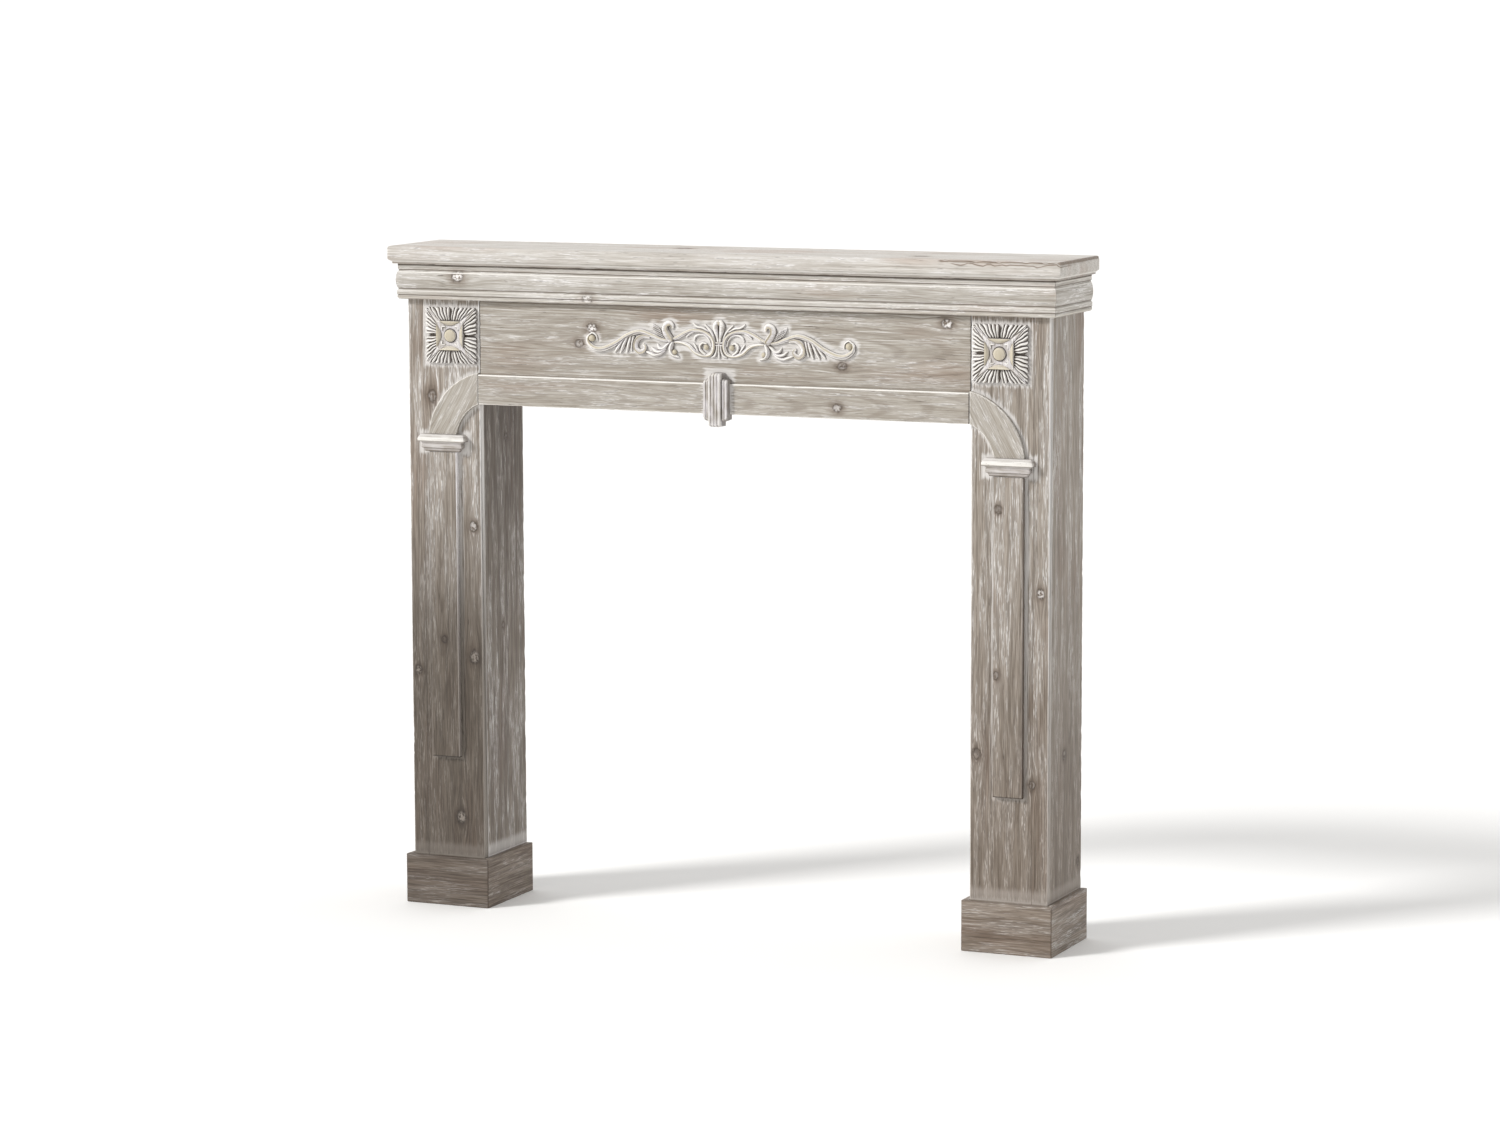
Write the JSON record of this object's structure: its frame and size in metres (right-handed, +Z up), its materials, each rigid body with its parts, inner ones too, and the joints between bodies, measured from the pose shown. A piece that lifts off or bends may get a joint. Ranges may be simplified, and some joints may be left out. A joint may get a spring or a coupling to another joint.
{
  "type": "fireplace mantelpiece",
  "caption": "Decorative fireplace surround: box columns on plinths, moulded shelf, frieze with carved scroll, rosettes, arc brackets and a reeded keystone.",
  "frame": {"origin": "under the middle of the object's box, on the floor", "axes": "+Z up, -Y out of the front, +X to the right as seen from the front"},
  "size_m": [1.1, 0.17, 1.03],
  "materials": {
    "limed_fir_head": "whitewashed fir, matt, warm pale greige",
    "limed_fir_column": "whitewashed fir, matt, taupe with streaky vertical grain",
    "limed_fir_plinth": "whitewashed fir, matt, darker taupe with worn edges",
    "limed_carving": "carved, heavily whitewashed, cream on the high points"
  },
  "bodies": {
    "root": {"shelf_slab": "limed_fir_head", "crown_moulding_front": "limed_fir_head", "crown_moulding_left": "limed_fir_head", "crown_moulding_right": "limed_fir_head", "frieze_board": "limed_fir_head", "lower_rail": "limed_fir_head", "keystone": "limed_carving", "scroll_applique": "limed_carving", "column_front_left": "limed_fir_column", "column_front_right": "limed_fir_column", "column_inner_side_left": "limed_fir_column", "column_inner_side_right": "limed_fir_column", "column_outer_side_left": "limed_fir_column", "column_outer_side_right": "limed_fir_column", "plinth_front_left": "limed_fir_plinth", "plinth_front_right": "limed_fir_plinth", "plinth_inner_side_left": "limed_fir_plinth", "plinth_inner_side_right": "limed_fir_plinth", "plinth_outer_side_left": "limed_fir_plinth", "plinth_outer_side_right": "limed_fir_plinth", "pilaster_panel_left": "limed_fir_column", "pilaster_panel_right": "limed_fir_column", "capital_left": "limed_carving", "capital_right": "limed_carving", "arc_bracket_left": "limed_fir_column", "arc_bracket_right": "limed_fir_column", "rosette_left": "limed_carving", "rosette_right": "limed_carving"}
  },
  "joints": []
}
